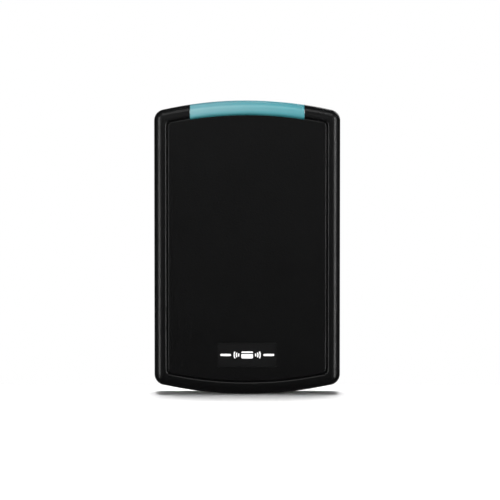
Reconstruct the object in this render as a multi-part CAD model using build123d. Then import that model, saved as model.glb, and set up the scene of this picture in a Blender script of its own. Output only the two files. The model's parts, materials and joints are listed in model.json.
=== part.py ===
"""Wall-mounted proximity card reader that covers a single-gang electrical box.

Frame: x to the right, z up, and the wall is the plane y = 0, so the front of the reader faces -y.
The origin lies on the wall plane, midway between the two box screws. All sizes are millimetres.
A depth is a distance from the wall towards the front, so a point at depth d has y = -d.
"""

import os
from math import atan, cos, degrees, radians, sin

from build123d import *

# ---------------------------------------------------------------- driving sizes
WIDTH = 75.8
HEIGHT = 120.0  # from the top of the upper bow to the bottom of the lower bow
DEPTH = 17.0
BOW = 158.0  # radius of the bowed top and bottom edges
CORNER = 4.5
EDGE = 4.0  # rounding of the cover's front edge
BOX_SCREW_SPACING = 83.34  # single-gang electrical box
BOX_SCREW_HOLE = 1.95  # radius, clears a number 6 machine screw

# ---------------------------------------------------------------- cover
WALL = 2.2
COVER_BACK = 2.1
COVER_INSIDE = DEPTH - WALL  # depth of the inner face of the front wall
GROOVE_INSET, GROOVE_WIDTH, GROOVE_DEPTH, GROOVE_FLOOR = 4.9, 0.9, 0.9, 0.1  # V-shaped, with a narrow floor
LIP_WIDTH, LIP_DEPTH = 0.24, 0.16  # the slope on each lip of the groove
PANEL_CORNER = 2.2

# ---------------------------------------------------------------- light bar
LENS_WIDTH, LENS_HEIGHT, LENS_BACK, LENS_THICK = 46.5, 6.0, 9.0, 2.4
LENS_GAP = 0.12
LENS_FOOT = 8.6  # how far below the top edge the hidden foot reaches
GUIDE_BACK, GUIDE_THICK, GUIDE_HALF = 8.8, 4.0, 22.6
GUIDE_BOTTOM, GUIDE_TOP = 39.2, 56.2
EAR_X, EAR_Z, EAR_THICK = 26.0, 48.5, 1.5

# ---------------------------------------------------------------- hinge and back plate
HINGE_DEPTH, HINGE_Z = 4.4, 55.2
BAR_RADIUS, BAR_HALF = 1.2, 13.5
HOOK_BORE, HOOK_RADIUS = 1.28, 2.3
HOOKS = ((3.0, 10.5), (-10.5, -3.0))
FLANGE, FLOOR = 1.8, 2.4
FLANGE_INSET, FLANGE_DROP = 0.5, 3.1
RIM_INSET, RIM_WALL, RIM_FRONT = 3.6, 1.6, 7.0
RIM_DROP = HEIGHT / 2 - RIM_INSET - 52.2  # keeps the rim clear of the hooks

# ---------------------------------------------------------------- security screw
SCREW_DEPTH = 6.5
BOSS_HALF, BOSS_TOP, BOSS_FRONT = 4.6, -49.9, 10.4
BOSS_BOTTOM = RIM_INSET - HEIGHT / 2
LEDGE_TOP, LEDGE_THICK = BOSS_BOTTOM - 0.25, 1.2
LEDGE_BOTTOM = LEDGE_TOP - LEDGE_THICK
SHANK_RADIUS, HEAD_RADIUS, HEAD_THICK = 1.5, 2.8, 1.5
WASHER_RADIUS, WASHER_THICK = 3.0, 0.4
SHANK_SLOT, HEAD_SLOT = 1.75, 3.3
INSERT_RADIUS, INSERT_BORE = 2.3, 1.56

# ---------------------------------------------------------------- electronics
BOARD_BACK, BOARD_THICK = 4.2, 1.6
BOARD = BOARD_BACK + BOARD_THICK  # depth of the component side
BOARD_HALF, BOARD_TOP, BOARD_BOTTOM = 27.6, 45.4, -14.0
BOARD_SCREWS = ((23.6, 37.5), (-23.6, 37.5), (23.6, -9.8), (-23.6, -9.8))
COIL_HALF, COIL_TOP, COIL_BOTTOM = 32.4, 50.2, -49.6
COIL_BAND, COIL_WALL, COIL_FRONT = 3.8, 0.8, 8.4
CABLE_Z, CABLE_W, CABLE_H, CABLE_CORNER = -26.5, 24.0, 14.0, 5.0
TERMINAL_POLES, TERMINAL_PITCH = 8, 3.5
TERMINAL_TOP, TERMINAL_HEIGHT = -5.5, 7.6
TAMPER_X, TAMPER_Z = 20.5, 1.5
TAMPER_BODY, TAMPER_CAP = 9.4, 12.2  # depths of the switch's top and of the pressed plunger
LED_Z, LED_X = 41.4, (-19.0, -9.5, 9.5, 19.0)

# ---------------------------------------------------------------- labels
LABEL_W, LABEL_H, LABEL_Z = 38.0, 24.0, 10.0
BADGE_W, BADGE_H, BADGE_Z, BADGE_THICK = 23.8, 9.7, -43.7, 0.5
BADGE_GAP = 0.08


# ================================================================ helpers
def bowed(half, top, bottom, bow, corner):
    """A rectangle whose top and bottom edges are arcs; top and bottom are the heights of their crowns."""
    face = Rectangle(2 * half, 4 * HEIGHT)
    face &= Pos(0, top - bow) * Circle(bow)
    face &= Pos(0, bottom + bow) * Circle(bow)
    return fillet(face.vertices(), corner)


def outline(inset, corner, drop=0.0):
    """The reader's front outline, shrunk by inset, with its top edge lowered by drop."""
    crown = HEIGHT / 2 - inset
    return bowed(WIDTH / 2 - inset, crown - drop, -crown, BOW - inset, corner)


def prism(face, back, front):
    """A face drawn in x and z, extruded between two depths."""
    return extrude(Plane.XZ.offset(back) * face, front - back)


def peg(x, z, radius, back, front):
    """A round peg that points at the front."""
    return prism(Pos(x, z) * Circle(radius), back, front)


def brick(x, z, width, height, back, front):
    """A block centred on x and z."""
    return prism(Pos(x, z) * Rectangle(width, height), back, front)


def rounded(x, z, width, height, corner, back, front):
    """A block with four rounded corners."""
    return prism(Pos(x, z) * RectangleRounded(width, height, corner), back, front)


def along_x(points, x0, x1):
    """A polygon of (depth, z) points, extruded along x."""
    face = make_face(Polyline([(-depth, z) for depth, z in points], close=True))
    return extrude(Plane.YZ.offset(x0) * face, x1 - x0)


def rod_x(depth, z, radius, x0, x1):
    """A round rod along x."""
    return extrude(Plane.YZ.offset(x0) * Pos(-depth, z) * Circle(radius), x1 - x0)


def rod_z(x, depth, radius, z0, z1):
    """A round rod along z."""
    return extrude(Plane.XY.offset(z0) * Pos(x, -depth) * Circle(radius), z1 - z0)


def front_edges(solid, depth):
    """The edges that lie wholly at one depth."""
    return [e for e in solid.edges() if all(abs(v.Y + depth) < 1e-4 for v in e.vertices())]


# ================================================================ front cover
def cover_form():
    """The solid outer form of the cover, with its rounded front edge."""
    form = prism(outline(0, CORNER), COVER_BACK, DEPTH)
    return fillet(front_edges(form, DEPTH), EDGE)


def cover_cavity(wall):
    """The hollow inside the cover for one wall thickness."""
    hollow = prism(outline(wall, CORNER - wall), COVER_BACK - 1, DEPTH - wall)
    return fillet(front_edges(hollow, DEPTH - wall), EDGE - wall)


def lens_band(gap):
    """The strip of the front view that the light bar takes."""
    strip = Pos(0, HEIGHT / 2) * Rectangle(LENS_WIDTH + 2 * gap, 4 * LENS_HEIGHT)
    return strip - Pos(0, HEIGHT / 2 - BOW) * Circle(BOW - LENS_HEIGHT - gap)


def swing_relief():
    """The wedge taken off the top of the cover's rear edge, so that it clears the wall as it swings."""
    crown = HEIGHT / 2 + 1
    wedge = [(0, 46), (COVER_BACK, 46), (HINGE_DEPTH, 58), (HINGE_DEPTH, crown), (0, crown)]
    return along_x(wedge, -WIDTH, WIDTH)


def hook(x0, x1):
    """A C-shaped hook that snaps over the hinge bar. Its mouth faces down and back while the cover is shut."""
    ring = rod_x(HINGE_DEPTH, HINGE_Z, HOOK_RADIUS, x0, x1)
    web_top = HEIGHT / 2 - WALL + 0.4
    web = [(HINGE_DEPTH + 0.2, HINGE_Z), (HINGE_DEPTH + HOOK_RADIUS, HINGE_Z)]
    web += [(HINGE_DEPTH + HOOK_RADIUS + 1.4, web_top), (HINGE_DEPTH + 0.2, web_top)]
    reach = 2 * HOOK_RADIUS
    mouth = [(HINGE_DEPTH, HINGE_Z)]
    for angle in (-95, -45, 5):
        mouth.append((HINGE_DEPTH - reach * cos(radians(angle)), HINGE_Z + reach * sin(radians(angle))))
    solid = ring + along_x(web, x0, x1)
    solid -= rod_x(HINGE_DEPTH, HINGE_Z, HOOK_BORE, x0 - 1, x1 + 1)
    return solid - along_x(mouth, x0 - 1, x1 + 1)


def screw_slot():
    """The open slot that slides past the security screw: a shank slot above, a head recess below."""
    low = -HEIGHT / 2 - 1
    slot = rod_z(0, SCREW_DEPTH, SHANK_SLOT, low, LEDGE_TOP + 1)
    slot += brick(0, (low + LEDGE_TOP + 1) / 2, 2 * SHANK_SLOT, LEDGE_TOP + 1 - low, 1, SCREW_DEPTH)
    slot += rod_z(0, SCREW_DEPTH, HEAD_SLOT, low, LEDGE_BOTTOM)
    slot += brick(0, (low + LEDGE_BOTTOM) / 2, 2 * HEAD_SLOT, LEDGE_BOTTOM - low, 1, SCREW_DEPTH)
    return slot


def groove_ring(spread):
    """The front view of the groove around the panel, widened on both sides by spread."""
    outer = outline(GROOVE_INSET - spread, PANEL_CORNER + spread)
    inner = outline(GROOVE_INSET + GROOVE_WIDTH + spread, PANEL_CORNER - GROOVE_WIDTH / 2 - spread)
    return outer - inner


def sloped_cut(face, depth, run):
    """A cut into the front face whose sides draw in by run over its depth."""
    return extrude(Plane.XZ.offset(DEPTH) * face, -depth, taper=degrees(atan(run / depth)))


def front_cover():
    """The moulded cover: groove, light bar opening, badge recess, hooks, screw slot and inner posts."""
    form = cover_form()
    cover = form - cover_cavity(WALL)
    cover -= sloped_cut(groove_ring(0), GROOVE_DEPTH, (GROOVE_WIDTH - GROOVE_FLOOR) / 2)
    cover -= sloped_cut(groove_ring(LIP_WIDTH), LIP_DEPTH, LIP_WIDTH)
    cover -= prism(lens_band(LENS_GAP), LENS_BACK - LENS_GAP, DEPTH + 1)
    cover -= swing_relief()
    recess = 2 * BADGE_GAP
    cover -= rounded(0, BADGE_Z, BADGE_W + recess, BADGE_H + recess, 0.4, DEPTH - 0.55, DEPTH + 1)
    for x0, x1 in HOOKS:
        cover += hook(x0, x1)
    pad = brick(0, (LEDGE_TOP - HEIGHT / 2) / 2, 13, LEDGE_TOP + HEIGHT / 2, COVER_BACK, 12.5)
    cover += pad & form
    cover -= screw_slot()
    cover += peg(TAMPER_X, TAMPER_Z, 2.0, TAMPER_CAP + 0.05, COVER_INSIDE + 0.3)
    for side in (-1, 1):
        cover += peg(side * EAR_X, EAR_Z, 1.9, GUIDE_BACK + GUIDE_THICK + 0.05, COVER_INSIDE + 0.3)
        cover += peg(side * EAR_X, EAR_Z, 1.1, GUIDE_BACK + 1.5, COVER_INSIDE)
        cover += peg(side * EAR_X, EAR_Z, 1.7, GUIDE_BACK + 1.5, GUIDE_BACK + GUIDE_THICK - EAR_THICK - 0.05)
        for z in (-40, -13, 13, 36):
            x = side * (WIDTH / 2 - WALL - 1.2)
            cover += brick(x, z, 3.0, 1.2, RIM_FRONT + 0.15, COVER_INSIDE + 0.3)
    return cover


def light_bar_lens():
    """The tinted lens: it completes the cover's rounded top edge, and a foot behind the cover holds it."""
    lens = cover_form() & prism(lens_band(0), LENS_BACK, DEPTH + 1)
    lens -= cover_cavity(LENS_THICK)
    crown = HEIGHT / 2
    foot = bowed(LENS_WIDTH / 2 - 0.3, crown - LENS_THICK - 0.4, -crown, BOW - LENS_THICK - 0.4, 0.5)
    foot -= Pos(0, crown - BOW) * Circle(BOW - LENS_FOOT)
    return lens + prism(foot, COVER_INSIDE - 1.5, COVER_INSIDE - 0.1)


def light_guide():
    """A right-angle light pipe: light enters from the LEDs and leaves upwards behind the lens."""
    front = GUIDE_BACK + GUIDE_THICK
    section = [(GUIDE_BACK, GUIDE_BOTTOM), (GUIDE_BACK, GUIDE_TOP), (front, GUIDE_TOP)]
    section.append((front, GUIDE_BOTTOM + GUIDE_THICK))
    guide = along_x(section, -GUIDE_HALF, GUIDE_HALF)
    guide &= prism(outline(LENS_THICK + 0.3, 1.0), GUIDE_BACK - 1, front + 1)
    for side in (-1, 1):
        ear = rounded(side * (EAR_X - 1.4), EAR_Z, 7.2, 5.0, 1.2, front - EAR_THICK, front)
        guide += ear
        guide -= peg(side * EAR_X, EAR_Z, 1.2, front - EAR_THICK - 1, front + 1)
    return guide


def badge_plate():
    """The blank label insert."""
    return rounded(0, BADGE_Z, BADGE_W, BADGE_H, 0.3, DEPTH - BADGE_THICK - 0.04, DEPTH - 0.04)


def badge_symbol():
    """The printed mark: a card between waves, with a bar to each side."""
    card = RectangleRounded(4.8, 2.9, 0.5) - Pos(0, 0.6) * Rectangle(4.8, 0.45)
    marks = [card]
    for side in (-1, 1):
        for radius in (1.3, 2.2, 3.1):
            wave = Circle(radius + 0.25) - Circle(radius - 0.25)
            sector = make_face(Polyline([(0, 0), (side * 5, 2.4), (side * 5, -2.4)], close=True))
            marks.append(Pos(side * 2.2, 0) * (wave & sector))
        marks.append(Pos(side * 8.8, 0) * RectangleRounded(4.4, 0.9, 0.4))
    return [prism(Pos(0, BADGE_Z) * mark, DEPTH - 0.04, DEPTH) for mark in marks]


# ================================================================ back plate
def back_plate():
    """The base that is screwed to the wall box: flange, rim, hinge bar, screw boss and board posts."""
    plate = prism(outline(FLANGE_INSET, CORNER - FLANGE_INSET, FLANGE_DROP), 0, FLANGE)
    rim_outer = outline(RIM_INSET, 3.4, RIM_DROP)
    rim_inner = outline(RIM_INSET + RIM_WALL, 2.4, RIM_DROP)
    plate += prism(rim_outer, 0, FLOOR)
    plate += prism(rim_outer - rim_inner, FLANGE, RIM_FRONT)
    plate += rod_x(HINGE_DEPTH, HINGE_Z, BAR_RADIUS, -BAR_HALF, BAR_HALF)
    for x in (-BAR_HALF + 0.75, 0, BAR_HALF - 0.75):
        rib = [(1, HINGE_Z - BAR_RADIUS), (1, HINGE_Z + 0.9)]
        rib += [(HINGE_DEPTH, HINGE_Z + 0.9), (HINGE_DEPTH, HINGE_Z - BAR_RADIUS)]
        plate += along_x(rib, x - 0.75, x + 0.75)
    boss_middle, boss_height = (BOSS_TOP + BOSS_BOTTOM) / 2, BOSS_TOP - BOSS_BOTTOM
    plate += brick(0, boss_middle, 2 * BOSS_HALF, boss_height, FLANGE, BOSS_FRONT)
    plate -= rod_z(0, SCREW_DEPTH, INSERT_RADIUS, BOSS_BOTTOM - 5, BOSS_TOP + 1)
    for x, z in BOARD_SCREWS:
        plate += peg(x, z, 2.6, FLOOR, BOARD_BACK)
        plate -= peg(x, z, 1.1, 0.8, BOARD_BACK + 1)
    for side in (-1, 1):
        plate -= peg(0, side * BOX_SCREW_SPACING / 2, BOX_SCREW_HOLE, -1, FLOOR + 1)
    plate -= rounded(0, CABLE_Z, CABLE_W, CABLE_H, CABLE_CORNER, -1, FLOOR + 1)
    plate -= rounded(0, CABLE_Z, CABLE_W + 3, CABLE_H + 3, CABLE_CORNER + 1.5, -1, 1)
    plate -= rear_label(0.1, -1, 0.15)
    return plate - gasket_ring(0.0, -1, 1)


def rear_label(gap=0.0, back=0.03, front=0.13):
    """The blank rating label in its shallow recess, grown by gap."""
    return rounded(0, LABEL_Z, LABEL_W + 2 * gap, LABEL_H + 2 * gap, 1.5, back, front)


def gasket_ring(gap, back, front):
    """The ring behind the flange that the wall gasket fills, shrunk by gap on both sides."""
    outer = outline(2.0 + gap, 3.0 - gap, FLANGE_DROP)
    inner = outline(4.6 - gap, 1.8, FLANGE_DROP)
    return prism(outer - inner, back, front)


def wall_gasket():
    """The foam gasket, shown pressed flush with the back plate."""
    return gasket_ring(0.05, 0, 0.98)


def cable_grommet():
    """The rubber edge guard of the cable entry."""
    ring = rounded(0, CABLE_Z, CABLE_W + 2.6, CABLE_H + 2.6, CABLE_CORNER + 1.3, 0.05, 0.95)
    ring += rounded(0, CABLE_Z, CABLE_W - 0.2, CABLE_H - 0.2, CABLE_CORNER - 0.1, 0.95, 2.45)
    lip = rounded(0, CABLE_Z, CABLE_W + 2.6, CABLE_H + 2.6, CABLE_CORNER + 1.3, 2.45, 3.5)
    ring += fillet(front_edges(lip, 3.5), 0.4)
    return ring - rounded(0, CABLE_Z, CABLE_W - 4, CABLE_H - 4, CABLE_CORNER - 1, -1, 5)


def screw_insert():
    """The brass insert in the boss, with two knurl-relief grooves."""
    insert = rod_z(0, SCREW_DEPTH, INSERT_RADIUS, BOSS_BOTTOM, BOSS_TOP)
    for z in (BOSS_BOTTOM + 2.0, BOSS_BOTTOM + 4.0):
        insert -= rod_z(0, SCREW_DEPTH, INSERT_RADIUS + 1, z, z + 0.6) - rod_z(
            0, SCREW_DEPTH, INSERT_RADIUS - 0.25, z, z + 0.6
        )
    return insert - rod_z(0, SCREW_DEPTH, INSERT_BORE, BOSS_BOTTOM - 1, BOSS_TOP + 1)


# ================================================================ security screw
WASHER_TOP = LEDGE_BOTTOM - 0.05
HEAD_TOP = WASHER_TOP - WASHER_THICK - 0.02


def security_screw():
    """A low-head machine screw, its axis along z and its pin-hexagon socket facing down."""
    head = rod_z(0, SCREW_DEPTH, HEAD_RADIUS, HEAD_TOP - HEAD_THICK, HEAD_TOP)
    rim = head.edges().filter_by(GeomType.CIRCLE).sort_by(Axis.Z)[0]
    head = fillet(rim, 0.5)
    shank = rod_z(0, SCREW_DEPTH, SHANK_RADIUS, HEAD_TOP, HEAD_TOP + 8.0)
    tip = shank.edges().filter_by(GeomType.CIRCLE).sort_by(Axis.Z)[-1]
    screw = head + chamfer(tip, 0.3)
    socket = Plane.XY.offset(HEAD_TOP - HEAD_THICK) * Pos(0, -SCREW_DEPTH) * RegularPolygon(1.15, 6)
    screw -= extrude(socket, 1.1)
    return screw + rod_z(0, SCREW_DEPTH, 0.35, HEAD_TOP - HEAD_THICK + 0.2, HEAD_TOP)


def screw_washer():
    """The washer that stays on the screw."""
    washer = rod_z(0, SCREW_DEPTH, WASHER_RADIUS, WASHER_TOP - WASHER_THICK, WASHER_TOP)
    return washer - rod_z(0, SCREW_DEPTH, SHANK_RADIUS + 0.06, WASHER_TOP - 1, WASHER_TOP + 1)


# ================================================================ antenna
def coil_outline(inset):
    """The racetrack of the antenna, shrunk by inset."""
    corner = 8.0 - inset
    return bowed(COIL_HALF - inset, COIL_TOP - inset, COIL_BOTTOM + inset, 150 - inset, corner)


def coil_former():
    """The trough that holds the winding, open to the front."""
    ring = prism(coil_outline(0) - coil_outline(COIL_BAND), FLOOR, COIL_FRONT)
    trough = coil_outline(COIL_WALL) - coil_outline(COIL_BAND - COIL_WALL)
    return ring - prism(trough, FLOOR + 1, COIL_FRONT + 1)


def antenna_coil():
    """The wound coil, as one closed ring."""
    gap = COIL_WALL + 0.05
    winding = coil_outline(gap) - coil_outline(COIL_BAND - gap)
    return prism(winding, FLOOR + 1.02, COIL_FRONT - 0.6)


def coil_leads():
    """The two ends of the winding, looped over the trough's wall and down to the board."""
    leads = []
    for z in (18.0, 15.2):
        loop = [(-30.5, COIL_FRONT - 0.6), (-30.5, COIL_FRONT + 0.7), (-26.2, COIL_FRONT + 0.7), (-26.2, BOARD)]
        path = FilletPolyline([(x, -depth, z) for x, depth in loop], radius=0.6)
        section = Plane(path @ 0, z_dir=path % 0) * Circle(0.25)
        leads.append(sweep(section, path=path))
    return leads


# ================================================================ circuit board
def circuit_board():
    """The printed circuit board, notched for the upper box screw."""
    face = bowed(BOARD_HALF, BOARD_TOP, -BOARD_TOP, BOW, 3.4)
    keep = Pos(0, BOARD_BOTTOM + HEIGHT / 2) * Rectangle(WIDTH, HEIGHT)
    face &= keep
    face = fillet(face.vertices().group_by(Axis.Y)[0], 1.2)
    notch_z = BOX_SCREW_SPACING / 2
    face -= Pos(0, notch_z) * Circle(5.0)
    face -= Pos(0, notch_z + 5) * Rectangle(10.0, 10.0)
    for x, z in BOARD_SCREWS:
        face -= Pos(x, z) * Circle(1.3)
    return prism(face, BOARD_BACK, BOARD)


def board_screws():
    """Four thread-forming screws with cross recesses."""
    screws = []
    for x, z in BOARD_SCREWS:
        head = peg(x, z, 2.1, BOARD + 0.02, BOARD + 1.4)
        head = fillet(front_edges(head, BOARD + 1.4), 0.6)
        head += peg(x, z, 1.05, 1.2, BOARD + 0.1)
        head -= brick(x, z, 2.2, 0.45, BOARD + 0.7, BOARD + 2)
        screws.append(head - brick(x, z, 0.45, 2.2, BOARD + 0.7, BOARD + 2))
    return screws


# Plain packages: node name, then (x, z, width along x, height along z, thickness) of each.
PACKAGES = {
    "microcontroller": [(-1.5, 12.5, 7.0, 7.0, 1.1)],
    "reader_chip": [(-1.5, 26.0, 10.0, 4.0, 1.6)],
    "power_inductor": [(19.0, 27.5, 7.2, 7.2, 3.6)],
    "voltage_regulator": [(11.0, 34.0, 6.6, 6.2, 2.3)],
    "tuning_capacitors": [(-20.5, z, 7.2, 3.4, 6.2) for z in (20.5, 25.5, 30.5)],
    "surge_diodes": [(x, 0.5, 3.6, 4.4, 2.2) for x in (-10.5, -5.25, 0, 5.25, 10.5)],
    "status_leds": [(x, LED_Z, 3.5, 2.8, 1.8) for x in LED_X],
    "chip_resistors": [
        (-9.5, 8.5, 2.0, 1.25, 0.5),
        (-9.5, 11.0, 2.0, 1.25, 0.5),
        (-9.5, 13.5, 2.0, 1.25, 0.5),
        (-9.5, 16.0, 2.0, 1.25, 0.5),
        (-19.0, 37.0, 2.0, 1.25, 0.5),
        (-9.5, 37.0, 2.0, 1.25, 0.5),
        (5.0, 21.0, 2.0, 1.25, 0.5),
        (5.0, 18.5, 2.0, 1.25, 0.5),
        (19.0, 20.0, 2.0, 1.25, 0.5),
    ],
    "chip_capacitors": [
        (-10.0, 24.0, 1.25, 2.0, 0.9),
        (-10.0, 28.0, 1.25, 2.0, 0.9),
        (-4.0, 19.0, 1.25, 2.0, 0.9),
        (-1.0, 19.0, 1.25, 2.0, 0.9),
        (5.5, 28.5, 1.25, 2.0, 0.9),
        (13.0, 27.5, 1.25, 2.0, 0.9),
        (-5.5, 32.0, 1.25, 2.0, 0.9),
        (-2.0, 32.0, 1.25, 2.0, 0.9),
    ],
}


def packages(name):
    """Every block of one kind of component, standing on the board."""
    blocks = []
    for x, z, width, height, thick in PACKAGES[name]:
        block = brick(x, z, width, height, BOARD + 0.02, BOARD + thick)
        blocks.append(chamfer(front_edges(block, BOARD + thick), min(0.25, thick / 6)))
    return blocks


def crystal():
    """The oscillator can, with its rolled foot."""
    can = rounded(9.5, 12.5, 4.4, 10.4, 2.1, BOARD + 0.4, BOARD + 3.4)
    can = fillet(front_edges(can, BOARD + 3.4), 0.5)
    return can + rounded(9.5, 12.5, 5.0, 11.2, 2.4, BOARD + 0.02, BOARD + 0.5)


def bulk_capacitor():
    """The electrolytic capacitor: a plastic foot and a can with a rolled waist."""
    foot = rounded(20.0, 12.5, 6.8, 6.8, 1.0, BOARD + 0.02, BOARD + 0.9)
    can = peg(20.0, 12.5, 3.15, BOARD + 0.9, BOARD + 7.4)
    can = fillet(front_edges(can, BOARD + 7.4), 0.4)
    waist = peg(20.0, 12.5, 4, BOARD + 1.5, BOARD + 2.1) - peg(20.0, 12.5, 2.9, BOARD + 1.5, BOARD + 2.1)
    return foot + (can - waist)


def buzzer():
    """The sounder, with its sound hole."""
    body = peg(-19.0, 8.0, 6.0, BOARD + 0.02, BOARD + 4.5)
    body = fillet(front_edges(body, BOARD + 4.5), 0.5)
    return body - peg(-19.0, 8.0, 1.0, BOARD + 3.0, BOARD + 6)


# ================================================================ terminal block
def pole_centres():
    """The x of each terminal."""
    first = -(TERMINAL_POLES - 1) * TERMINAL_PITCH / 2
    return [first + pole * TERMINAL_PITCH for pole in range(TERMINAL_POLES)]


def terminal_block():
    """The terminal housing: wires enter from below, screws face the front."""
    front, middle = BOARD + TERMINAL_HEIGHT, (TERMINAL_TOP + BOARD_BOTTOM) / 2
    width = TERMINAL_POLES * TERMINAL_PITCH + 1
    block = brick(0, middle, width, TERMINAL_TOP - BOARD_BOTTOM, BOARD + 0.02, front)
    upper = [e for e in front_edges(block, front) if abs(e.center().Z - TERMINAL_TOP) < 0.01]
    block = chamfer(upper, 1.5)
    for x in pole_centres():
        block -= brick(x, BOARD_BOTTOM + 3, 2.5, 6.2, BOARD + 1.4, BOARD + 4.6)
        block -= peg(x, BOARD_BOTTOM + 3.4, 1.3, BOARD + 4, front + 1)
    return block


def terminal_clamps():
    """The plated wire cages, seen through the wire entries."""
    cages = []
    for x in pole_centres():
        cage = brick(x, BOARD_BOTTOM + 3.4, 2.4, 3.4, BOARD + 1.5, BOARD + 4.5)
        cages.append(cage - brick(x, BOARD_BOTTOM + 3.4, 1.7, 4, BOARD + 2.0, BOARD + 3.9))
    return cages


def terminal_screws():
    """The slotted clamp screws."""
    screws = []
    for x in pole_centres():
        screw = peg(x, BOARD_BOTTOM + 3.4, 1.2, BOARD + 4.55, BOARD + 6.2)
        screws.append(screw - brick(x, BOARD_BOTTOM + 3.4, 3, 0.4, BOARD + 5.6, BOARD + 7))
    return screws


# ================================================================ tamper switch
def tamper_switch():
    """The switch body: a cup for the spring over a guide hole for the stem."""
    body = rounded(TAMPER_X, TAMPER_Z, 6.2, 6.2, 0.8, BOARD + 0.02, TAMPER_BODY)
    body -= peg(TAMPER_X, TAMPER_Z, 1.95, TAMPER_BODY - 1.4, TAMPER_BODY + 1)
    return body - peg(TAMPER_X, TAMPER_Z, 0.95, BOARD + 0.2, TAMPER_BODY + 1)


def tamper_plunger():
    """The plunger, pressed in by the shut cover."""
    cap = peg(TAMPER_X, TAMPER_Z, 2.2, TAMPER_CAP - 0.8, TAMPER_CAP)
    cap = fillet(front_edges(cap, TAMPER_CAP), 0.25)
    return cap + peg(TAMPER_X, TAMPER_Z, 0.8, BOARD + 0.3, TAMPER_CAP - 0.5)


def tamper_spring():
    """The return spring around the stem."""
    low, high, wire = TAMPER_BODY - 1.4 + 0.2, TAMPER_CAP - 0.8 - 0.2, 0.15
    coil = Helix(pitch=(high - low) / 4, height=high - low, radius=1.35)
    section = Plane(coil @ 0, z_dir=coil % 0) * Circle(wire)
    spring = sweep(section, path=coil, is_frenet=True)
    return Plane.XZ.offset(low) * Pos(TAMPER_X, TAMPER_Z) * spring


# ================================================================ files
def main():
    """Write every sub-part to its own STEP file."""
    nodes = {
        "back_plate": back_plate(),
        "rear_label": rear_label(),
        "wall_gasket": wall_gasket(),
        "cable_grommet": cable_grommet(),
        "screw_insert": screw_insert(),
        "coil_former": coil_former(),
        "antenna_coil": antenna_coil(),
        "coil_leads": coil_leads(),
        "circuit_board": circuit_board(),
        "board_screws": board_screws(),
        "crystal": crystal(),
        "bulk_capacitor": bulk_capacitor(),
        "buzzer": buzzer(),
        "terminal_block": terminal_block(),
        "terminal_clamps": terminal_clamps(),
        "terminal_screws": terminal_screws(),
        "tamper_switch": tamper_switch(),
        "tamper_plunger": tamper_plunger(),
        "tamper_spring": tamper_spring(),
        "front_cover": front_cover(),
        "light_bar_lens": light_bar_lens(),
        "light_guide": light_guide(),
        "badge_plate": badge_plate(),
        "badge_symbol": badge_symbol(),
        "security_screw": security_screw(),
        "screw_washer": screw_washer(),
    }
    for name in PACKAGES:
        nodes[name] = packages(name)
    os.makedirs("parts", exist_ok=True)
    for name, shape in nodes.items():
        whole = Compound(children=shape) if isinstance(shape, list) else shape
        export_step(whole, f"parts/{name}.step")


main()
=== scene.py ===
"""Looks of the wall-mounted card reader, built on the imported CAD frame. Blender 4.5, metres, +Z up."""

import json
import math
from collections import namedtuple

import bmesh
import bpy
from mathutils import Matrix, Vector


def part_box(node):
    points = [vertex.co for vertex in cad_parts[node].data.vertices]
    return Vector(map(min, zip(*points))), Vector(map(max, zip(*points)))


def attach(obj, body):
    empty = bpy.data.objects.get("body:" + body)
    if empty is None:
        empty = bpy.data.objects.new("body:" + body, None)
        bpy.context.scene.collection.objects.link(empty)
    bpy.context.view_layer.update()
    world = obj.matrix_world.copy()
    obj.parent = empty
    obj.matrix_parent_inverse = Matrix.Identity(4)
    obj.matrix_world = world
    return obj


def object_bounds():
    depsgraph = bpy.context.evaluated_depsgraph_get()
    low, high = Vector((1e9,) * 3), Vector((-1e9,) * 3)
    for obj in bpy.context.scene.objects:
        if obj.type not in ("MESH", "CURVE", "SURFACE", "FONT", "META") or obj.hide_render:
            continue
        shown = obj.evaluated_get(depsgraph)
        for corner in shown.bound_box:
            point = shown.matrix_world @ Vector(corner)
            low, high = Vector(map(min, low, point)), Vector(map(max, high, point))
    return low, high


MM = 0.001  # one millimetre, in metres

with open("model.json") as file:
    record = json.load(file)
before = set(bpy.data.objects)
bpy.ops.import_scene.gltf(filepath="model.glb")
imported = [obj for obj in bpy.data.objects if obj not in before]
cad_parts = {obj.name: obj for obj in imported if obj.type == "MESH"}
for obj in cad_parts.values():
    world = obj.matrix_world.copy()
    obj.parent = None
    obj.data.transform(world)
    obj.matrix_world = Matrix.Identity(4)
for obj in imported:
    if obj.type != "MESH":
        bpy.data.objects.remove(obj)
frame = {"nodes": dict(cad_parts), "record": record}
NODES = frame["nodes"]
CAD_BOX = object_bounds()
LOW, HIGH = CAD_BOX
CROWN = HIGH.z  # top of the upper bow

# ---------------------------------------------------------------- camera
VIEW_SPAN = 0.2047  # width of the picture at the reader, in metres
CAMERA_DISTANCE = 1.2
SENSOR = 36  # width of the camera's sensor, in its own millimetres
CAMERA_ELEVATION = math.radians(3.0)
AIM = Vector((0.00115, -0.010, -0.0012))


def add_camera():
    """A long lens, level with the reader and square to its front."""
    data = bpy.data.cameras.new("camera")
    data.sensor_width = SENSOR
    data.lens = SENSOR * CAMERA_DISTANCE / VIEW_SPAN
    data.clip_end = 20
    camera = bpy.data.objects.new("camera", data)
    bpy.context.scene.collection.objects.link(camera)
    back = Vector((0, -math.cos(CAMERA_ELEVATION), math.sin(CAMERA_ELEVATION)))
    camera.location = AIM + back * CAMERA_DISTANCE
    camera.rotation_euler = (-back).to_track_quat("-Z", "Y").to_euler()
    bpy.context.scene.camera = camera


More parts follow.
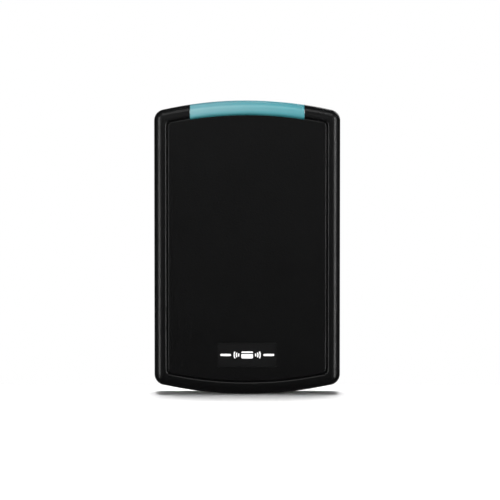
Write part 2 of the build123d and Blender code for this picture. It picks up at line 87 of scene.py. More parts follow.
# ---------------------------------------------------------------- node helpers
class Graph:
    """A material's node tree, with short calls for the nodes that this scene uses."""

    def __init__(self, name):
        self.material = bpy.data.materials.new(name)
        self.material.use_nodes = True
        self.tree = self.material.node_tree
        self.tree.nodes.clear()
        self.output = self.tree.nodes.new("ShaderNodeOutputMaterial")
        self.shader = self.tree.nodes.new("ShaderNodeBsdfPrincipled")
        self.link(self.shader.outputs["BSDF"], self.output.inputs["Surface"])

    def link(self, source, target):
        self.tree.links.new(source, target)

    def put(self, value, target):
        """Links a socket, or sets a plain number or colour on the target's own socket."""
        if isinstance(value, bpy.types.NodeSocket):
            self.link(value, target)
        else:
            target.default_value = value

    def place(self, scale=1.0):
        """Object coordinates in metres, times scale."""
        coords = self.tree.nodes.new("ShaderNodeTexCoord")
        mapping = self.tree.nodes.new("ShaderNodeMapping")
        mapping.inputs["Scale"].default_value = (scale,) * 3
        self.link(coords.outputs["Object"], mapping.inputs["Vector"])
        return mapping.outputs["Vector"]

    def noise(self, size, detail=2.0, roughness=0.5):
        """Noise whose features are about size metres across."""
        node = self.tree.nodes.new("ShaderNodeTexNoise")
        node.inputs["Scale"].default_value = 1.0
        node.inputs["Detail"].default_value = detail
        node.inputs["Roughness"].default_value = roughness
        self.link(self.place(1 / size), node.inputs["Vector"])
        return node.outputs["Fac"]

    def cells(self, size):
        """Voronoi cells of about size metres; the distance from each cell's centre."""
        node = self.tree.nodes.new("ShaderNodeTexVoronoi")
        node.inputs["Scale"].default_value = 1.0
        self.link(self.place(1 / size), node.inputs["Vector"])
        return node.outputs["Distance"]

    def math(self, operation, a, b=0.0, clamp=False):
        node = self.tree.nodes.new("ShaderNodeMath")
        node.operation = operation
        node.use_clamp = clamp
        self.put(a, node.inputs[0])
        self.put(b, node.inputs[1])
        return node.outputs[0]

    def spread(self, value, low, high):
        """Maps 0..1 to low..high."""
        node = self.tree.nodes.new("ShaderNodeMapRange")
        self.put(value, node.inputs["Value"])
        node.inputs["To Min"].default_value = low
        node.inputs["To Max"].default_value = high
        return node.outputs["Result"]

    def ramp(self, value, stops):
        """A colour ramp: stops are (position, colour)."""
        node = self.tree.nodes.new("ShaderNodeValToRGB")
        self.put(value, node.inputs["Fac"])
        ramp = node.color_ramp
        while len(ramp.elements) < len(stops):
            ramp.elements.new(0.5)
        for element, (position, colour) in zip(ramp.elements, stops):
            element.position = position
            element.color = (*colour, 1.0)
        return node.outputs["Color"]

    def mix(self, factor, a, b):
        """A colour between a and b."""
        node = self.tree.nodes.new("ShaderNodeMix")
        node.data_type = "RGBA"
        self.put(factor, node.inputs["Factor"])
        for value, target in ((a, node.inputs["A"]), (b, node.inputs["B"])):
            self.put((*value, 1.0) if isinstance(value, tuple) else value, target)
        return node.outputs["Result"]

    def multiply(self, a, b):
        """The product of two colours."""
        node = self.tree.nodes.new("ShaderNodeMix")
        node.data_type = "RGBA"
        node.blend_type = "MULTIPLY"
        node.inputs["Factor"].default_value = 1.0
        self.put(a, node.inputs["A"])
        self.put(b, node.inputs["B"])
        return node.outputs["Result"]

    def axes(self):
        """The object's x, y and z, in metres."""
        node = self.tree.nodes.new("ShaderNodeSeparateXYZ")
        self.link(self.place(), node.inputs["Vector"])
        return node.outputs["X"], node.outputs["Y"], node.outputs["Z"]

    def bump(self, height, depth):
        """Raises the surface by height times depth metres."""
        node = self.tree.nodes.new("ShaderNodeBump")
        node.inputs["Distance"].default_value = depth
        self.link(height, node.inputs["Height"])
        self.link(node.outputs["Normal"], self.shader.inputs["Normal"])

    def set(self, **sockets):
        """Sets shader sockets by name, with underscores for spaces."""
        for name, value in sockets.items():
            target = self.shader.inputs[name.replace("_", " ")]
            if isinstance(value, tuple) and len(value) == 3 and target.type == "RGBA":
                value = (*value, 1.0)
            self.put(value, target)


# ---------------------------------------------------------------- materials
def moulded_plastic(name, colour, grain, depth, roughness, coat=0.0):
    """Spark-eroded moulded plastic: a fine pebble, with slightly uneven gloss."""
    g = Graph(name)
    pebble = g.math("ADD", g.cells(grain), g.noise(grain * 0.6, 3.0))
    pebble = g.math("ADD", pebble, g.math("MULTIPLY", g.noise(grain * 3.2, 1.0), 2.0))
    patches = g.noise(0.02, 3.0)
    dark = tuple(c * 0.8 for c in colour)
    g.set(Base_Color=g.mix(patches, dark, colour), Roughness=g.spread(patches, *roughness))
    g.set(Coat_Weight=coat, Coat_Roughness=0.25)
    g.bump(pebble, depth)
    return g.material


def lens_with_painted_light():
    """Translucent teal plastic with painted light in its colour: painted shade in a band under its upper
    edge and at its lower edge, a painted highlight band along its middle, and paler to the left, deeper
    teal to the right.
    """
    g = Graph("lens_teal")
    x, _, z = g.axes()
    bow, fade = 0.158, 0.0064  # radius of the upper edge, and how far below it the painted shade and highlight run
    rise = g.math("ADD", z, bow - CROWN)
    reach = g.math("SQRT", g.math("ADD", g.math("MULTIPLY", x, x), g.math("MULTIPLY", rise, rise)))
    below = g.math("DIVIDE", g.math("SUBTRACT", bow, reach), fade, clamp=True)
    # painted light down from the upper edge: painted shade in the top band, a painted highlight band, then
    # painted shade at the lower edge
    stops = [
        (0.0, (0.058, 0.155, 0.17)),
        (0.25, (0.060, 0.190, 0.21)),
        (0.37, (0.114, 0.255, 0.265)),
        (0.63, (0.092, 0.220, 0.235)),
        (0.75, (0.052, 0.184, 0.198)),
        (0.88, (0.005, 0.058, 0.062)),
        (1.0, (0.002, 0.012, 0.014)),
    ]
    # paler to the left, deeper teal to the right
    across = g.math("DIVIDE", g.math("SUBTRACT", x, LOW.x / 2), (HIGH.x - LOW.x) / 2, clamp=True)
    tint = g.mix(across, (1.6, 1.38, 1.42), (0.86, 1.18, 1.24))
    cloud = g.spread(g.noise(0.006, 2.0), 0.0, 0.18)
    colour = g.mix(cloud, g.multiply(g.ramp(below, stops), tint), (0.07, 0.24, 0.27))
    g.set(Base_Color=colour, Roughness=0.24, IOR=1.5, Subsurface_Weight=0.3)
    g.set(Subsurface_Radius=(0.6, 1.0, 1.0), Subsurface_Scale=0.002)
    g.bump(g.noise(0.0006, 2.0), 0.000004)
    return g.material


def metal(name, colour, roughness, grain=0.0004):
    """A machined or plated metal with fine streaks in its gloss."""
    g = Graph(name)
    streaks = g.noise(grain, 4.0, 0.7)
    g.set(Base_Color=colour, Metallic=0.7, Roughness=g.spread(streaks, *roughness))
    g.bump(streaks, 0.00001)
    return g.material


def board_mask():
    """Green solder mask over copper, with the weave of the laminate just visible."""
    g = Graph("board_green")
    weave = g.math("MULTIPLY", g.noise(0.0009, 1.0), g.noise(0.0003, 1.0))
    g.set(Base_Color=g.mix(weave, (0.004, 0.055, 0.022), (0.012, 0.13, 0.05)), Roughness=0.32)
    g.bump(weave, 0.00001)
    return g.material


def soft_rubber(name, colour, grain):
    """Matt rubber or closed-cell foam with small pores, with painted shade darkening each pore's dip."""
    g = Graph(name)
    pores = g.cells(grain)
    # darker in each pore's dip: painted shade
    g.set(Base_Color=g.mix(pores, colour, tuple(c * 1.6 for c in colour)), Roughness=0.85)
    g.bump(pores, grain * 0.15)
    return g.material


def copper_winding():
    """Enamelled wire wound in a trough: fine parallel turns along the coil, with painted shade darkening
    the gaps between the turns.
    """
    g = Graph("copper_wire")
    _, y, _ = g.axes()
    turns = g.math("ABSOLUTE", g.math("SINE", g.math("MULTIPLY", y, math.pi / 0.00028)))
    # the dark colour in the gaps between turns is painted shade
    g.set(Base_Color=g.mix(turns, (0.22, 0.05, 0.02), (0.72, 0.28, 0.12)), Metallic=0.9, Roughness=0.3)
    g.bump(turns, 0.00005)
    return g.material


def clear_guide():
    """Frosted clear acrylic."""
    g = Graph("guide_clear")
    g.set(Base_Color=(0.8, 0.87, 0.88), Roughness=0.22, IOR=1.49, Transmission_Weight=0.75)
    g.bump(g.noise(0.0008, 2.0), 0.000006)
    return g.material


def printed_ink(name, colour):
    """Screen-printed ink."""
    g = Graph(name)
    g.set(Base_Color=g.mix(g.noise(0.0005, 2.0), tuple(c * 0.93 for c in colour), colour), Roughness=0.45)
    g.bump(g.noise(0.0002, 2.0), 0.000003)
    return g.material


MATERIALS = {
    "cover_black": moulded_plastic("cover_black", (0.003, 0.003, 0.0032), 0.00028, 0.00002, (0.27, 0.33)),
    "base_black": moulded_plastic("base_black", (0.012, 0.012, 0.013), 0.0004, 0.00003, (0.5, 0.6)),
    "lens_teal": lens_with_painted_light(),
    "guide_clear": clear_guide(),
    "badge_grey": moulded_plastic("badge_grey", (0.006, 0.006, 0.0063), 0.0002, 0.000008, (0.28, 0.34)),
    "label_silver": printed_ink("label_silver", (0.13, 0.132, 0.136)),
    "symbol_white": printed_ink("symbol_white", (0.92, 0.92, 0.92)),
    "rubber_grey": soft_rubber("rubber_grey", (0.03, 0.03, 0.032), 0.0006),
    "grommet_rubber": soft_rubber("grommet_rubber", (0.018, 0.018, 0.018), 0.0009),
    "brass": metal("brass", (0.72, 0.52, 0.22), (0.2, 0.35)),
    "screw_steel": metal("screw_steel", (0.45, 0.45, 0.46), (0.22, 0.4)),
    "zinc_steel": metal("zinc_steel", (0.68, 0.69, 0.7), (0.2, 0.38)),
    "former_plastic": moulded_plastic("former_plastic", (0.46, 0.44, 0.38), 0.0005, 0.00002, (0.42, 0.5)),
    "copper_wire": copper_winding(),
    "board_green": board_mask(),
    "package_black": moulded_plastic("package_black", (0.014, 0.014, 0.015), 0.0001, 0.00001, (0.4, 0.55)),
    "ceramic_tan": moulded_plastic("ceramic_tan", (0.42, 0.27, 0.15), 0.0002, 0.00001, (0.45, 0.55)),
    "film_red": moulded_plastic("film_red", (0.42, 0.035, 0.02), 0.0008, 0.00001, (0.2, 0.3), coat=0.3),
    "can_aluminium": metal("can_aluminium", (0.82, 0.82, 0.83), (0.25, 0.4)),
    "can_steel": metal("can_steel", (0.72, 0.71, 0.69), (0.18, 0.3)),
    "led_white": moulded_plastic("led_white", (0.6, 0.6, 0.57), 0.0003, 0.00001, (0.25, 0.35)),
    "terminal_green": moulded_plastic("terminal_green", (0.015, 0.22, 0.07), 0.0005, 0.00001, (0.28, 0.36)),
    "spring_steel": metal("spring_steel", (0.7, 0.7, 0.71), (0.15, 0.25)),
    "plunger_white": moulded_plastic("plunger_white", (0.58, 0.57, 0.54), 0.0004, 0.00001, (0.35, 0.45)),
}


def enamelled_wire():
    """Copper wire under clear enamel."""
    g = Graph("enamelled_wire")
    colour = g.mix(g.noise(0.002, 2.0), (0.55, 0.16, 0.06), (0.75, 0.27, 0.1))
    g.set(Base_Color=colour, Metallic=0.85, Roughness=0.28)
    g.set(Coat_Weight=0.5, Coat_Roughness=0.1)
    return g.material


# finishes of pieces that have no node of their own
TINNED = metal("tinned_leads", (0.62, 0.62, 0.60), (0.28, 0.42))
SOLDER = metal("solder", (0.70, 0.70, 0.69), (0.2, 0.36))
TRACK = moulded_plastic("masked_track", (0.022, 0.19, 0.075), 0.0006, 0.000004, (0.26, 0.34))
INK_GREY = printed_ink("ink_grey", (0.5, 0.5, 0.48))
INK_BLACK = printed_ink("ink_black", (0.02, 0.02, 0.02))
PHOSPHOR = moulded_plastic("phosphor", (0.75, 0.6, 0.08), 0.0002, 0.00001, (0.3, 0.4))
ENAMEL = enamelled_wire()


def paint_nodes():
    """Gives every CAD node the material of its slot."""
    for entry in frame["record"]["subparts"]:
        mesh = NODES[entry["node"]].data
        mesh.materials.clear()
        mesh.materials.append(MATERIALS[entry["material_slot"]])


# ---------------------------------------------------------------- small pieces
class Slab(namedtuple("Slab", "x0 x1 z0 z1 back front")):
    """A box in millimetres. Its depths, back and front, are distances from the wall to the front."""

    @property
    def x(self):
        return (self.x0 + self.x1) / 2

    @property
    def z(self):
        return (self.z0 + self.z1) / 2

    def spread(self, gap):
        """The same box, grown by gap in the front view."""
        return Slab(self.x0 - gap, self.x1 + gap, self.z0 - gap, self.z1 + gap, self.back, self.front)


def slab_of(low, high):
    """The slab of a box that is given by two corners in metres."""
    return Slab(*(value / MM for value in (low.x, high.x, low.z, high.z, -high.y, -low.y)))


def solids(node):
    """The slab of each separate solid of a node, from left to right and from the bottom up."""
    mesh = bmesh.new()
    mesh.from_mesh(NODES[node].data)
    bmesh.ops.remove_doubles(mesh, verts=mesh.verts, dist=1e-7)
    unseen = set(mesh.verts)
    slabs = []
    while unseen:
        island = set()
        front = [next(iter(unseen))]
        while front:
            vertex = front.pop()
            if vertex not in island:
                island.add(vertex)
                front += [edge.other_vert(vertex) for edge in vertex.link_edges]
        unseen -= island
        corners = [[choose(v.co[axis] for v in island) for axis in range(3)] for choose in (min, max)]
        slabs.append(slab_of(*(Vector(corner) for corner in corners)))
    mesh.free()
    return sorted(slabs, key=lambda s: (round(s.x, 2), round(s.z, 2)))


def whole(node):
    """The slab of a whole node."""
    return slab_of(*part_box(node))


def arc(x, z, radius, start, end, steps):
    """Points along an arc, with its angles in degrees from +x."""
    angles = [math.radians(start + (end - start) * i / steps) for i in range(steps + 1)]
    return [(x + radius * math.cos(a), z + radius * math.sin(a)) for a in angles]


class Piece:
    """A mesh put together from small solids, in millimetres."""

    def __init__(self):
        self.mesh = bmesh.new()

    def loft(self, rings, closed=False):
        """Skins rings of (x, depth, z) points, and caps the ends unless the rings close on themselves."""
        rows = [[self.mesh.verts.new(Vector((x, -d, z)) * MM) for x, d, z in ring] for ring in rings]
        pairs = list(zip(rows, rows[1:]))
        if closed:
            pairs.append((rows[-1], rows[0]))
        else:
            self.mesh.faces.new(rows[0])
            self.mesh.faces.new(reversed(rows[-1]))
        for near, far in pairs:
            for i, corner in enumerate(near):
                self.mesh.faces.new((near[i - 1], corner, far[i], far[i - 1]))

    def sweep(self, polygon, step):
        """A polygon of (x, depth, z) points, swept along a step."""
        self.loft([polygon, [tuple(a + b for a, b in zip(point, step)) for point in polygon]])

    def plate(self, outline, back, front):
        """A flat shape of (x, z) points between two depths."""
        self.sweep([(x, back, z) for x, z in outline], (0, front - back, 0))

    def block(self, slab):
        """A box."""
        x0, x1, z0, z1, back, front = slab
        self.plate([(x0, z0), (x1, z0), (x1, z1), (x0, z1)], back, front)

    def disc(self, x, z, radius, back, front, steps):
        """A round plate."""
        self.plate(arc(x, z, radius, 0, 360, steps)[:-1], back, front)

    def ring(self, x, z, outer, inner, back, front, steps):
        """A flat ring."""
        section = [(outer, back), (outer, front), (inner, front), (inner, back)]
        rows = []
        for i in range(steps):
            c, s = math.cos(math.tau * i / steps), math.sin(math.tau * i / steps)
            rows.append([(x + r * c, d, z + r * s) for r, d in section])
        self.loft(rows, closed=True)

    def outline(self, slab, line):
        """A thin rectangular outline just inside a slab."""
        x0, x1, z0, z1, back, front = slab
        self.block(Slab(x0, x1, z0, z0 + line, back, front))
        self.block(Slab(x0, x1, z1 - line, z1, back, front))
        self.block(Slab(x0, x0 + line, z0 + line, z1 - line, back, front))
        self.block(Slab(x1 - line, x1, z0 + line, z1 - line, back, front))

    def ribbon(self, points, width, back, front):
        """A flat strip along a line of (x, z) points, mitred at its corners."""
        path = [Vector(point) for point in points]
        left, right = [], []
        for i, point in enumerate(path):
            along = [(b - a).normalized() for a, b in zip(path[max(i - 1, 0):i + 1], path[max(i, 1):i + 2])]
            along = along or [(path[1] - path[0]).normalized()]
            mean = sum(along, Vector((0, 0))).normalized()
            side = Vector((-mean.y, mean.x)) * width / 2 / max(mean.dot(along[0]), 0.5)
            left.append(tuple(point + side))
            right.append(tuple(point - side))
        self.plate(left + right[::-1], back, front)

    def wire(self, points, depth, radius, sides=6):
        """A closed round wire along a loop of (x, z) points at one depth."""
        rows = []
        for i, (x, z) in enumerate(points):
            before, after = Vector(points[i - 1]), Vector(points[(i + 1) % len(points)])
            along = (after - before).normalized()
            row = []
            for k in range(sides):
                out = radius * math.cos(math.tau * k / sides)
                rise = radius * math.sin(math.tau * k / sides)
                row.append((x - along.y * out, depth + rise, z + along.x * out))
            rows.append(row)
        self.loft(rows, closed=True)

    def finish(self, name, body, slot, material=None, bevel=0.0):
        """Makes the object, which rides on a body and takes a slot's finish."""
        bmesh.ops.recalc_face_normals(self.mesh, faces=self.mesh.faces)
        data = bpy.data.meshes.new(name)
        self.mesh.to_mesh(data)
        self.mesh.free()
        data.materials.append(material or MATERIALS[slot])
        data.shade_smooth()
        data.set_sharp_from_angle(angle=math.radians(35))
        piece = bpy.data.objects.new(name, data)
        bpy.context.scene.collection.objects.link(piece)
        if bevel:
            rounding = piece.modifiers.new("rounding", "BEVEL")
            rounding.width = bevel * MM
            rounding.segments = 2
            rounding.limit_method = "ANGLE"
        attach(piece, body)


# ---------------------------------------------------------------- circuit board
BOARD_FRONT = whole("circuit_board").front
COPPER = 0.04  # how far tracks and pads stand up from the board
LEAD = 0.16  # thickness of a chip's lead
SIGNAL = 0.3  # width of a signal track
LEADS, CHIP_PITCH = 8, 0.8  # leads on a side of the controller, and their spacing
READER_STEP = 1.5  # spacing of the reader chip's leads, as a multiple of the controller's
CHIP_PARTS = ("chip_resistors", "chip_capacitors")


def mount_row(count, pitch):
    """Offsets of evenly spaced leads about the middle of a side."""
    return [(i - (count - 1) / 2) * pitch for i in range(count)]


def add_gull_leads():
    """Bent leads and their solder pads, along the sides of each leaded package."""
    leads, pads = Piece(), Piece()
    chip, reader, regulator = whole("microcontroller"), whole("reader_chip"), whole("voltage_regulator")
    # a lead's width, its height where it leaves the package, and its reach
    fine, coarse, power, wide = (0.35, 0.5, 1.0), (0.42, 0.8, 1.1), (0.8, 1.0, 1.6), (1.9, 1.0, 0.9)
    south, north, west, east = (0, -1), (0, 1), (-1, 0), (1, 0)
    rows = []  # x, z, direction of the lead in the front view, and its three sizes
    for offset in mount_row(LEADS, CHIP_PITCH):
        rows.append((chip.x + offset, chip.z0, south, *fine))
        rows.append((chip.x + offset, chip.z1, north, *fine))
        rows.append((chip.x0, chip.z + offset, west, *fine))
        rows.append((chip.x1, chip.z + offset, east, *fine))
        rows.append((reader.x + offset * READER_STEP, reader.z0, south, *coarse))
        rows.append((reader.x + offset * READER_STEP, reader.z1, north, *coarse))
    for offset in mount_row(3, 2.29):
        rows.append((regulator.x + offset, regulator.z0, south, *power))
    for diode in solids("surge_diodes"):
        rows.append((diode.x, diode.z0, south, *wide))
        rows.append((diode.x, diode.z1, north, *wide))
    for x, z, (dx, dz), width, height, reach in rows:
        base = BOARD_FRONT + COPPER
        profile = [(-0.1, height), (0.35 * reach, height), (0.55 * reach, LEAD), (reach, LEAD)]
        profile += [(reach, 0), (0.5 * reach, 0), (0.3 * reach, height - LEAD), (-0.1, height - LEAD)]
        side = (dz * width / 2, -dx * width / 2)
        polygon = [(x + dx * out - side[0], base + up, z + dz * out - side[1]) for out, up in profile]
        leads.sweep(polygon, (2 * side[0], 0, 2 * side[1]))
        ends = [(x + dx * out + sign * side[0] * 1.3, z + dz * out + sign * side[1] * 1.3)
                for out, sign in ((0.4 * reach, 1), (1.3 * reach, 1), (1.3 * reach, -1), (0.4 * reach, -1))]
        pads.plate(ends, BOARD_FRONT, BOARD_FRONT + COPPER)
    tab = regulator.spread(-0.5)._replace(z0=regulator.z1 - 0.1, z1=regulator.z1 + 1.0)
    leads.block(tab._replace(back=BOARD_FRONT + COPPER, front=BOARD_FRONT + 0.6))
    leads.finish("component_leads", "base", "can_steel", TINNED)
    pads.finish("leaded_pads", "base", "can_steel", SOLDER)


def add_chip_ends():
    """Tinned end caps on the chip parts, with a solder fillet and pad under each."""
    caps, solder = Piece(), Piece()
    for part in [slab for node in CHIP_PARTS for slab in solids(node)]:
        upright = part.z1 - part.z0 > part.x1 - part.x0
        for sign in (-1, 1):
            if upright:
                end = part.z1 if sign > 0 else part.z0
                cap = part._replace(z0=min(end, end - sign * 0.4), z1=max(end, end - sign * 0.4))
                foot = [(part.x0 - 0.1, end - sign * 0.3), (part.x1 + 0.1, end - sign * 0.3)]
                foot += [(part.x1 + 0.1, end + sign * 0.6), (part.x0 - 0.1, end + sign * 0.6)]
            else:
                end = part.x1 if sign > 0 else part.x0
                cap = part._replace(x0=min(end, end - sign * 0.4), x1=max(end, end - sign * 0.4))
                foot = [(end - sign * 0.3, part.z0 - 0.1), (end - sign * 0.3, part.z1 + 0.1)]
                foot += [(end + sign * 0.6, part.z1 + 0.1), (end + sign * 0.6, part.z0 - 0.1)]
            caps.block(cap.spread(0.03)._replace(front=part.front + 0.03))
            solder.plate(foot, BOARD_FRONT, BOARD_FRONT + COPPER + 0.08)
    caps.finish("chip_end_caps", "base", "can_steel", TINNED, bevel=0.05)
    solder.finish("chip_solder", "base", "can_steel", SOLDER, bevel=0.06)


def add_tracks():
    """Copper tracks under the mask, and the tinned rims of their vias."""
    tracks, vias = Piece(), Piece()
    top = BOARD_FRONT + COPPER / 2
    chip, reader, block = whole("microcontroller"), whole("reader_chip"), whole("terminal_block")
    poles = [screw.x for screw in solids("terminal_screws")]
    for pole, offset in zip(poles, mount_row(len(poles), CHIP_PITCH)):
        end = chip.x + offset
        knee = chip.z0 - 1.8 - 0.28 * abs(pole - end)
        bend = knee - abs(pole - end) * 0.25
        path = [(pole, block.z1), (pole, bend), (end, knee + 0.6), (end, chip.z0 - 0.6)]
        tracks.ribbon(path, SIGNAL, BOARD_FRONT, top)
        vias.ring(pole, block.z1 + 1.0, 0.45, 0.2, BOARD_FRONT, top + 0.01, 16)
    for offset in mount_row(LEADS, CHIP_PITCH):
        start, end = chip.x + offset, reader.x + offset * READER_STEP
        path = [(start, chip.z1 + 0.6), (start, chip.z1 + 2.2)]
        path += [(end, reader.z0 - 2.2), (end, reader.z0 - 0.6)]
        tracks.ribbon(path, SIGNAL, BOARD_FRONT, top)
    leds = solids("status_leds")
    bus = leds[0].z0 - 1.6
    tracks.ribbon([(leds[0].x0 - 1.2, bus), (leds[-1].x1 + 1.2, bus)], 0.7, BOARD_FRONT, top)
    for led in leds:
        for x in (led.x0 - 0.2, led.x1 + 0.2):
            tracks.ribbon([(x, led.z), (x, bus)], SIGNAL, BOARD_FRONT, top)
        vias.ring(led.x, bus - 0.9, 0.4, 0.18, BOARD_FRONT, top + 0.01, 16)
    for film in solids("tuning_capacitors"):
        path = [(film.x1, film.z), (film.x1 + 3.0, film.z), (reader.x0 - 1.8, film.z)]
        tracks.ribbon(path + [(reader.x0 - 0.8, reader.z)], 0.5, BOARD_FRONT, top)
        for x in (film.x0 + 1.0, film.x1 - 1.0):
            tracks.ribbon([(x, film.z0 - 0.8), (x, film.z1 + 0.8)], 0.5, BOARD_FRONT, top)
    crystal, bulk = whole("crystal"), whole("bulk_capacitor")
    for z in (crystal.z0 + 2.6, crystal.z1 - 2.6):
        path = [(chip.x1 + 0.8, chip.z + (z - chip.z) * 0.25), (crystal.x0 - 1.2, z), (crystal.x0 + 1, z)]
        tracks.ribbon(path, SIGNAL, BOARD_FRONT, top)
    edge = whole("circuit_board")
    for x in (edge.x0 + 1.4, edge.x1 - 1.4):
        tracks.ribbon([(x, edge.z0 + 2.5), (x, bulk.z1 + 12)], 0.9, BOARD_FRONT, top)
        for step in range(7):
            vias.ring(x, edge.z0 + 6 + 4.2 * step, 0.4, 0.18, BOARD_FRONT, top + 0.01, 16)
    for screw in solids("board_screws"):
        vias.ring(screw.x, screw.z, 2.9, 1.4, BOARD_FRONT, BOARD_FRONT + 0.01, 32)
    tracks.finish("board_tracks", "base", "board_green", TRACK)
    vias.finish("board_vias", "base", "can_steel", SOLDER)


def add_silkscreen():
    """White outlines printed round the parts, with a mark at pin one."""
    ink = Piece()
    low, high = BOARD_FRONT, BOARD_FRONT + 0.02
    boxed = ("surge_diodes", "status_leds", "tuning_capacitors", "power_inductor", "crystal")
    for node in (*boxed, "bulk_capacitor"):
        for part in solids(node):
            ink.outline(part.spread(0.45)._replace(back=low, front=high), 0.15)
    for node in CHIP_PARTS:
        for part in solids(node):
            ink.outline(part.spread(0.75)._replace(back=low, front=high), 0.12)
    for node in ("microcontroller", "reader_chip", "voltage_regulator"):
        part = whole(node)
        ink.outline(part.spread(-0.05)._replace(back=low, front=high), 0.12)
        ink.disc(part.x0 - 0.9, part.z0 - 0.9, 0.3, low, high, 16)
    sounder = whole("buzzer")
    radius = (sounder.x1 - sounder.x0) / 2
    ink.ring(sounder.x, sounder.z, radius + 0.5, radius + 0.3, low, high, 48)
    ink.finish("board_silkscreen", "base", "led_white", MATERIALS["symbol_white"])


def add_component_marks():
    """Small moulded and printed features on the parts."""
    ink, dents, phosphor, cups = Piece(), Piece(), Piece(), Piece()
    for node in ("microcontroller", "reader_chip"):
        part = whole(node)
        dents.ring(part.x0 + 1.1, part.z0 + 1.1, 0.4, 0.3, part.front - 0.02, part.front + 0.02, 20)
    for diode in solids("surge_diodes"):
        band = diode.spread(-0.4)._replace(z0=diode.z1 - 1.3, z1=diode.z1 - 0.7)
        ink.block(band._replace(back=diode.front - 0.01, front=diode.front + 0.015))
    can = whole("bulk_capacitor")
    radius = 2.9
    ink.plate(arc(can.x, can.z, radius - 0.3, 130, 230, 16), can.front - 0.02, can.front + 0.015)
    for angle in (90, 210, 330):
        a = math.radians(angle)
        ends = [(can.x, can.z), (can.x + radius * 0.7 * math.cos(a), can.z + radius * 0.7 * math.sin(a))]
        dents.ribbon(ends, 0.12, can.front - 0.02, can.front + 0.02)
    for led in solids("status_leds"):
        cups.ring(led.x, led.z, 1.2, 0.98, led.front - 0.05, led.front + 0.06, 32)
        phosphor.disc(led.x, led.z, 1.0, led.front - 0.05, led.front + 0.04, 32)
    coil = whole("power_inductor")
    for turn in range(6):
        loop = arc(coil.x, coil.z, (coil.x1 - coil.x0) / 2 - 0.15, 0, 360, 32)[:-1]
        dents.wire(loop, coil.back + 0.8 + turn * 0.42, 0.2)
    ink.finish("component_marks", "base", "can_aluminium", INK_GREY)
    dents.finish("component_dents", "base", "package_black")
    phosphor.finish("led_phosphor", "base", "led_white", PHOSPHOR)
    cups.finish("led_cups", "base", "led_white")


# ---------------------------------------------------------------- antenna, terminals, mouldings
def bowed_loop(half, top, bottom, bow, corner, steps=10):
    """The antenna's racetrack: bowed top and bottom edges, with rounded corners."""
    loop = []
    for crown, sign in ((top, 1), (bottom, -1)):
        hub = crown - sign * bow  # centre height of the bow
        drop = math.sqrt((bow - corner) ** 2 - (half - corner) ** 2)
        centre = hub + sign * drop
        lean = math.degrees(math.asin((half - corner) / (bow - corner)))
        right = arc(half - corner, centre, corner, 0, sign * (90 - lean), steps)
        over = arc(0, hub, bow, sign * (90 - lean), sign * (90 + lean), 2 * steps)[1:-1]
        left = arc(corner - half, centre, corner, sign * (90 + lean), sign * 180, steps)
        side = right + over + left
        loop += side if sign > 0 else side[::-1]
    return loop


def add_winding():
    """The turns of enamelled wire that show at the open front of the coil former."""
    turns = Piece()
    coil = whole("antenna_coil")
    bow, corner, radius = 149.15, 7.15, 0.14
    top_layer = coil.front + 0.02
    for turn in range(7):
        inset = 0.2 + turn * 0.3
        depth = top_layer - (0.1 if turn % 2 else 0.0)
        path = bowed_loop(coil.x1 - inset, coil.z1 - inset, coil.z0 + inset, bow - inset, corner - inset)
        turns.wire(path, depth, radius)
    turns.finish("antenna_turns", "base", "copper_wire", ENAMEL)


def add_terminal_ribs():
    """Ribs between the poles of the terminal block."""
    ribs = Piece()
    block, poles = whole("terminal_block"), [screw.x for screw in solids("terminal_screws")]
    pitch = poles[1] - poles[0]
    between = [pole + pitch / 2 for pole in poles[:-1]]
    for x in (poles[0] - pitch / 2 + 0.25, *between, poles[-1] + pitch / 2 - 0.25):
        rib = Slab(x - 0.2, x + 0.2, block.z0 - 0.12, block.z1 - 1.7, block.back + 0.6, block.front + 0.12)
        ribs.block(rib)
    ribs.finish("terminal_ribs", "base", "terminal_green", bevel=0.06)


def add_moulding_marks():
    """Ejector witness rings on the back plate and inside the cover, and the mark of the moulding gate."""
    plate, cover = whole("back_plate"), whole("front_cover")
    marks, inner = Piece(), Piece()
    for x in (-24, 24):
        for z in (-40, -10, 34):
            marks.ring(x, z, 2.1, 1.95, -0.03, 0.05, 32)
    marks.ring(0, plate.z1 - 28, 1.2, 0.9, -0.03, 0.05, 24)
    for z in (plate.z0 + 20, plate.z1 - 20):
        for x in (-14, 14):
            marks.ring(x, z, 1.6, 1.45, -0.03, 0.05, 32)
    wall = 2.2
    inside = cover.front - wall
    for x in (-15, 15):
        for z in (-30, -6, 18):
            inner.ring(x, z, 2.0, 1.85, inside - 0.04, inside + 0.05, 32)
    inner.disc(0, 0, 0.9, inside - 0.12, inside + 0.05, 20)
    marks.finish("plate_ejector_marks", "base", "base_black")
    inner.finish("cover_ejector_marks", "cover", "cover_black")


def add_label_print():
    """A ruled frame of blank fields on the rear label."""
    ink = Piece()
    label = whole("rear_label")
    edge = label.spread(-1.2)._replace(back=label.back - 0.015, front=label.back + 0.02)
    ink.outline(edge, 0.3)
    for z in (edge.z1 - 5.5, edge.z1 - 11):
        ink.block(edge._replace(z0=z, z1=z + 0.2))
    ink.block(edge._replace(x0=label.x - 0.1, x1=label.x + 0.1, z1=edge.z1 - 11))
    ink.finish("label_rules", "base", "label_silver", INK_BLACK)


# ---------------------------------------------------------------- stage and light
def add_floor():
    """The pale floor that the reader stands on. It ends just behind it, with white beyond."""
    size, behind = 6.0, 0.02
    place = (0, HIGH.y + behind - size / 2, LOW.z - 0.00002)
    bpy.ops.mesh.primitive_plane_add(size=size, location=place)
    floor = bpy.context.object
    floor.name = "floor"
    g = Graph("floor_white")
    g.set(Base_Color=(0.93, 0.93, 0.93), Roughness=0.9, Specular_IOR_Level=0.0)
    floor.data.materials.append(g.material)
    floor.visible_glossy = False  # a dark cloth in front keeps it out of the reader's gloss


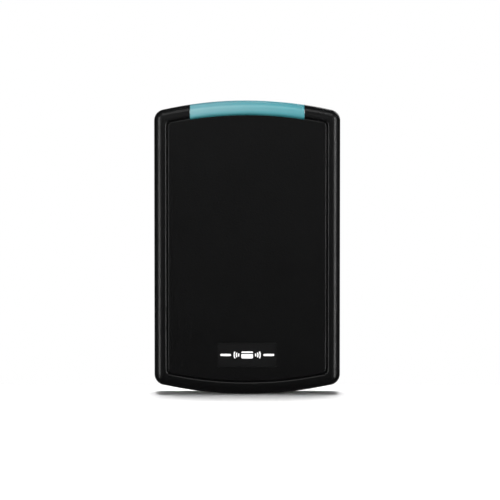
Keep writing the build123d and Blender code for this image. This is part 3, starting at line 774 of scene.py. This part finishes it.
def add_light(data, place, aim):
    """Puts a light in the scene, hidden from the camera."""
    light = bpy.data.objects.new(data.name, data)
    light.location = Vector(place)
    light.rotation_euler = (Vector(aim) - light.location).to_track_quat("-Z", "Y").to_euler()
    light.visible_camera = False
    bpy.context.scene.collection.objects.link(light)
    return light


def add_softbox(name, place, width, height, power):
    """A rectangular light that only gloss sees, aimed at the middle of the reader."""
    data = bpy.data.lights.new(name, "AREA")
    data.shape = "RECTANGLE"
    data.size, data.size_y = width, height
    data.energy = power
    light = add_light(data, place, (LOW + HIGH) / 2)
    light.visible_diffuse = False


def add_sun(name, azimuth, elevation, strength, angle):
    """A far light that only matt surfaces see. Azimuth 0 shines from the front, 180 from behind."""
    data = bpy.data.lights.new(name, "SUN")
    data.energy = strength
    data.angle = math.radians(angle)
    a, e = math.radians(azimuth), math.radians(elevation)
    towards = Vector((math.sin(a) * math.cos(e), -math.cos(a) * math.cos(e), math.sin(e)))
    light = add_light(data, towards, (0, 0, 0))
    light.visible_glossy = False


def add_world(ambient, glossy):
    """White behind the scene, a little even light on matt surfaces, and a dark room in reflections."""
    world = bpy.data.worlds.new("studio")
    bpy.context.scene.world = world
    world.use_nodes = True
    world.cycles.sampling_method = "NONE"  # so that each kind of ray gets its own background
    tree = world.node_tree
    tree.nodes.clear()
    path = tree.nodes.new("ShaderNodeLightPath")

    def background(strength):
        node = tree.nodes.new("ShaderNodeBackground")
        node.inputs["Strength"].default_value = strength
        node.inputs["Color"].default_value = (1, 1, 1, 1)
        return node.outputs["Background"]

    def choose(ray, otherwise, chosen):
        node = tree.nodes.new("ShaderNodeMixShader")
        tree.links.new(path.outputs[ray], node.inputs["Fac"])
        tree.links.new(otherwise, node.inputs[1])
        tree.links.new(chosen, node.inputs[2])
        return node.outputs["Shader"]

    lit = choose("Is Glossy Ray", background(ambient), background(glossy))
    seen = choose("Is Camera Ray", lit, background(1.0))
    output = tree.nodes.new("ShaderNodeOutputWorld")
    tree.links.new(seen, output.inputs["Surface"])


def add_studio():
    """High suns behind cast the shadow, one in front lights the face, and softboxes shape the gloss."""
    bpy.context.scene.view_settings.view_transform = "Standard"
    add_floor()
    add_world(0.19, 0.029)
    add_sun("sun_front", 0, 2, 3.7, 20)
    for azimuth in (155, 205):
        for elevation in (70, 78, 86):
            add_sun(f"sun_{azimuth}_{elevation}", azimuth, elevation, 0.74, 24)
    add_softbox("strip_left", (-0.76, -0.49, 0), 0.10, 1.0, 3.2)
    add_softbox("strip_right", (0.77, -0.47, 0), 0.10, 1.0, 4.2)
    add_softbox("strip_top", (0, -0.45, 0.78), 0.9, 0.14, 1.2)
    add_softbox("box_above_camera", (0, -1.0, 0.32), 1.2, 0.35, 0.39)
    add_softbox("box_behind", (0.35, 0.95, 0.5), 0.8, 0.5, 3)


# ---------------------------------------------------------------- scene
add_camera()
paint_nodes()
add_gull_leads()
add_chip_ends()
add_tracks()
add_silkscreen()
add_component_marks()
add_winding()
add_terminal_ribs()
add_moulding_marks()
add_label_print()
add_studio()
